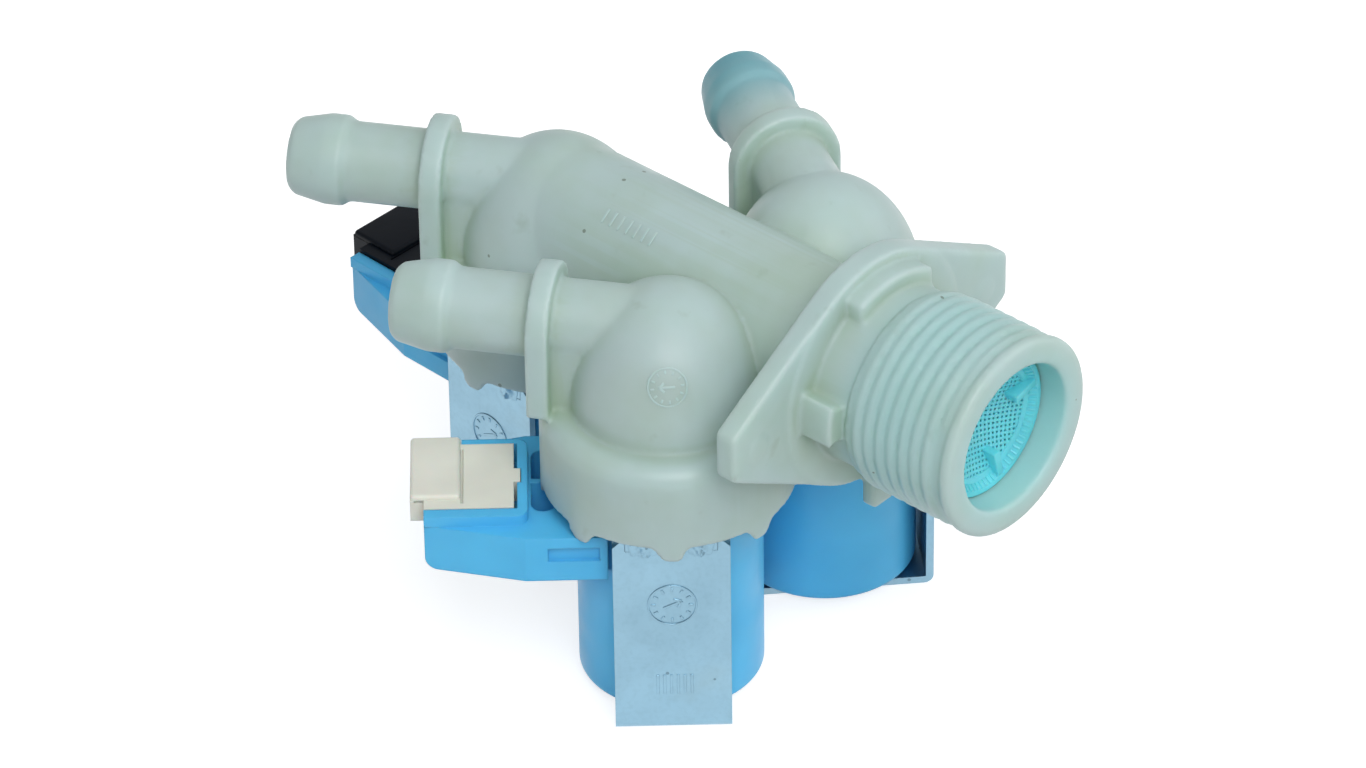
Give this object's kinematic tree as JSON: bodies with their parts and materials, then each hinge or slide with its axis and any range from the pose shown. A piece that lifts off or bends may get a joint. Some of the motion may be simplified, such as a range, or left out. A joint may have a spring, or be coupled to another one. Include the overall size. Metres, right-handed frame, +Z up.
{
  "type": "washing machine inlet valve",
  "caption": "Water inlet solenoid valve block for a washing machine: threaded inlet with filter, flange, manifold, domed outlets with hose barbs and coils hung below.",
  "frame": {"origin": "on the inlet axis, at the shoulder where the hose thread starts, 6 mm in front of the face that meets the panel", "axes": "+Z up with the coils hanging below, -Y out of the inlet mouth, +X to the right seen from the inlet"},
  "size_m": [0.0839, 0.1086, 0.0639],
  "materials": {
    "body_nylon": "satin, slightly translucent moulded nylon",
    "insert_plastic": "satin moulded plastic",
    "filter_plastic": "glossy translucent cyan plastic",
    "coil_plastic": "satin sky blue moulded plastic",
    "bobbin_plastic": "satin moulded plastic",
    "cap_cream": "satin cream moulded plastic",
    "cap_black": "satin black moulded plastic",
    "copper": "enamelled copper wire",
    "zinc_steel": "bright zinc plated sheet steel",
    "stainless": "ground stainless steel",
    "tin_brass": "tin plated brass",
    "rubber": "matt black moulded rubber"
  },
  "bodies": {
    "valve_body": {"body": "body_nylon", "inlet_filter": "filter_plastic", "flow_restrictor": "filter_plastic", "coil_housing_front": "coil_plastic", "bobbin_front": "bobbin_plastic", "winding_front": "copper", "bracket_front": "zinc_steel", "yoke_plate_front": "zinc_steel", "flux_sleeve_front": "zinc_steel", "cover_front": "body_nylon", "diaphragm_front": "rubber", "plunger_spring_front": "stainless", "connector_insert_front": "cap_cream", "terminal_a_front": "tin_brass", "terminal_b_front": "tin_brass", "coil_housing_side": "coil_plastic", "bobbin_side": "bobbin_plastic", "winding_side": "copper", "bracket_side": "zinc_steel", "yoke_plate_side": "zinc_steel", "flux_sleeve_side": "zinc_steel", "cover_side": "body_nylon", "diaphragm_side": "rubber", "plunger_spring_side": "stainless", "connector_insert_side": "cap_cream", "terminal_a_side": "tin_brass", "terminal_b_side": "tin_brass", "coil_housing_rear": "coil_plastic", "bobbin_rear": "bobbin_plastic", "winding_rear": "copper", "bracket_rear": "zinc_steel", "yoke_plate_rear": "zinc_steel", "flux_sleeve_rear": "zinc_steel", "cover_rear": "body_nylon", "diaphragm_rear": "rubber", "plunger_spring_rear": "stainless", "connector_insert_rear": "cap_black", "terminal_a_rear": "tin_brass", "terminal_b_rear": "tin_brass"},
    "plunger_body_front": {"plunger_front": "stainless", "plunger_tip_front": "rubber"},
    "insert_body_front": {"diaphragm_insert_front": "insert_plastic"},
    "plunger_body_side": {"plunger_side": "stainless", "plunger_tip_side": "rubber"},
    "insert_body_side": {"diaphragm_insert_side": "insert_plastic"},
    "plunger_body_rear": {"plunger_rear": "stainless", "plunger_tip_rear": "rubber"},
    "insert_body_rear": {"diaphragm_insert_rear": "insert_plastic"}
  },
  "joints": [
    {"name": "plunger_slide_front", "type": "slide", "parent": "valve_body", "child": "plunger_body_front", "axis": [0, 0, -1], "range_m": [0, 0.0028], "stiffness_N_per_m": 150, "springref_m": -0.003, "deforming": ["plunger_spring_front"]},
    {"name": "diaphragm_lift_front", "type": "slide", "parent": "valve_body", "child": "insert_body_front", "axis": [0, 0, -1], "range_m": [0, 0.00224], "deforming": ["diaphragm_front"]},
    {"name": "plunger_slide_side", "type": "slide", "parent": "valve_body", "child": "plunger_body_side", "axis": [0, 0, -1], "range_m": [0, 0.0028], "stiffness_N_per_m": 150, "springref_m": -0.003, "deforming": ["plunger_spring_side"]},
    {"name": "diaphragm_lift_side", "type": "slide", "parent": "valve_body", "child": "insert_body_side", "axis": [0, 0, -1], "range_m": [0, 0.00224], "deforming": ["diaphragm_side"]},
    {"name": "plunger_slide_rear", "type": "slide", "parent": "valve_body", "child": "plunger_body_rear", "axis": [0, 0, -1], "range_m": [0, 0.0028], "stiffness_N_per_m": 150, "springref_m": -0.003, "deforming": ["plunger_spring_rear"]},
    {"name": "diaphragm_lift_rear", "type": "slide", "parent": "valve_body", "child": "insert_body_rear", "axis": [0, 0, -1], "range_m": [0, 0.00224], "deforming": ["diaphragm_rear"]}
  ],
  "couplings": [
    {"joint": "diaphragm_lift_front", "follows": "plunger_slide_front", "ratio": 0.8},
    {"joint": "diaphragm_lift_side", "follows": "plunger_slide_side", "ratio": 0.8},
    {"joint": "diaphragm_lift_rear", "follows": "plunger_slide_rear", "ratio": 0.8}
  ]
}
